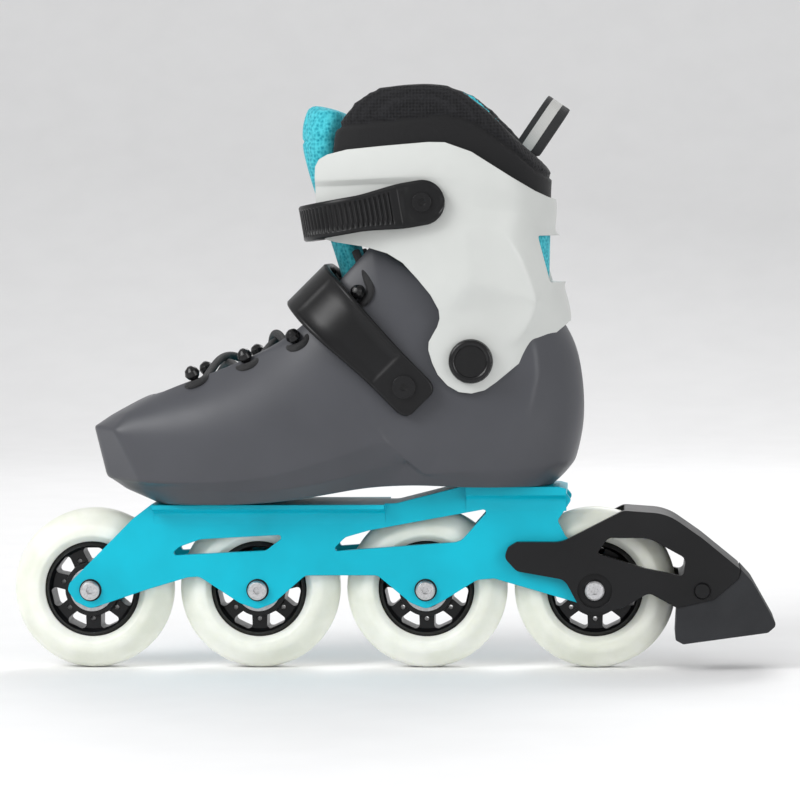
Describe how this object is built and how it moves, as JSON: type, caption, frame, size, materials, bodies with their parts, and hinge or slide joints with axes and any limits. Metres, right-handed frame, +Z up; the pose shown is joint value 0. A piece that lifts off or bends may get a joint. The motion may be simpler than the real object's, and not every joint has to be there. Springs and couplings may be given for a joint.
{
  "type": "inline skate",
  "caption": "Inline skate with a hinged white cuff on a grey moulded boot, straps and lace, a cyan frame, in-line wheels and a heel brake.",
  "frame": {"origin": "on the ground, in the wheels' plane, midway between the first and the last axle", "axes": "+X from toe to heel, +Z up from the ground, Y across the skate with the buckles on +Y"},
  "size_m": [0.3789, 0.1086, 0.2892],
  "materials": {
    "tyre": "satin cast urethane, milky",
    "hub": "black glass-filled nylon",
    "bearing": "ground steel",
    "frame": "satin cyan powder coat",
    "fasteners": "bright plated steel",
    "brake_arm": "black moulded, fine texture",
    "brake_pad": "dark grey rubber",
    "shell": "slate grey moulded, satin",
    "cuff": "white moulded, satin",
    "straps": "black moulded, ribbed",
    "buckle": "black moulded",
    "liner_black": "black mesh and knit",
    "liner_turquoise": "heathered turquoise knit",
    "webbing": "black webbing with a grey stripe",
    "lace": "round braided lace",
    "insole": "napped foam footbed",
    "shock_pad": "soft elastomer"
  },
  "bodies": {
    "root": {"frame": "frame", "frame_bolts": "fasteners", "frame_washers": "fasteners", "brake_arm": "brake_arm", "brake_pad": "brake_pad", "brake_pad_screw": "brake_arm", "shell": "shell", "cuff_pivot_medial": "buckle", "cuff_pivot_lateral": "buckle", "liner_foot": "liner_turquoise", "tongue_foot": "liner_turquoise", "insole": "insole", "heel_shock_pad": "shock_pad", "lace": "lace", "lace_hooks": "buckle", "eyelets": "buckle", "instep_strap_screws": "buckle", "axle_1": "fasteners", "axle_2": "fasteners", "axle_3": "fasteners", "axle_4": "fasteners", "bearing_inner_1": "bearing", "bearing_inner_2": "bearing", "bearing_inner_3": "bearing", "bearing_inner_4": "bearing", "bearing_spacer_1": "fasteners", "bearing_spacer_2": "fasteners", "bearing_spacer_3": "fasteners", "bearing_spacer_4": "fasteners"},
    "wheel_1": {"tyre_1": "tyre", "hub_1": "hub", "bearing_outer_1": "bearing"},
    "wheel_2": {"tyre_2": "tyre", "hub_2": "hub", "bearing_outer_2": "bearing"},
    "wheel_3": {"tyre_3": "tyre", "hub_3": "hub", "bearing_outer_3": "bearing"},
    "wheel_4": {"tyre_4": "tyre", "hub_4": "hub", "bearing_outer_4": "bearing"},
    "cuff_body": {"cuff": "cuff", "liner_collar": "liner_black", "tongue_collar": "liner_turquoise", "pull_loop": "webbing", "cuff_strap_screws": "buckle"},
    "cuff_strap_body": {"cuff_strap": "straps", "cuff_buckle_base": "buckle", "cuff_buckle_pin": "fasteners"},
    "instep_strap_body": {"instep_strap": "straps", "instep_buckle_base": "buckle", "instep_buckle_pin": "fasteners"},
    "cuff_lever": {"cuff_buckle_lever": "buckle"},
    "instep_lever": {"instep_buckle_lever": "buckle"}
  },
  "joints": [
    {"name": "wheel_1_spin", "type": "hinge", "parent": "root", "child": "wheel_1", "pos_m": [-0.12525, 0, 0.04], "axis": [0, 1, 0], "continuous": true},
    {"name": "wheel_2_spin", "type": "hinge", "parent": "root", "child": "wheel_2", "pos_m": [-0.04175, 0, 0.04], "axis": [0, 1, 0], "continuous": true},
    {"name": "wheel_3_spin", "type": "hinge", "parent": "root", "child": "wheel_3", "pos_m": [0.04175, 0, 0.04], "axis": [0, 1, 0], "continuous": true},
    {"name": "wheel_4_spin", "type": "hinge", "parent": "root", "child": "wheel_4", "pos_m": [0.12525, 0, 0.04], "axis": [0, 1, 0], "continuous": true},
    {"name": "cuff_flex", "type": "hinge", "parent": "root", "child": "cuff_body", "pos_m": [0.066, 0, 0.1541], "axis": [0, -1, 0], "range_deg": [0, 8]},
    {"name": "cuff_strap_swing", "type": "hinge", "parent": "cuff_body", "child": "cuff_strap_body", "pos_m": [0.043, 0, 0.2313], "axis": [0, -1, 0], "range_deg": [-3, 3]},
    {"name": "instep_strap_swing", "type": "hinge", "parent": "root", "child": "instep_strap_body", "pos_m": [0.0336, 0, 0.1419], "axis": [0, -1, 0], "range_deg": [-1.5, 3]},
    {"name": "cuff_lever_lift", "type": "hinge", "parent": "cuff_strap_body", "child": "cuff_lever", "pos_m": [0.00947, 0.0535, 0.22569], "axis": [-0.165, 0, 0.9863], "range_deg": [0, 75]},
    {"name": "instep_lever_lift", "type": "hinge", "parent": "instep_strap_body", "child": "instep_lever", "pos_m": [0.00977, 0.0519, 0.16615], "axis": [0.7133, 0, 0.7009], "range_deg": [0, 75]}
  ]
}
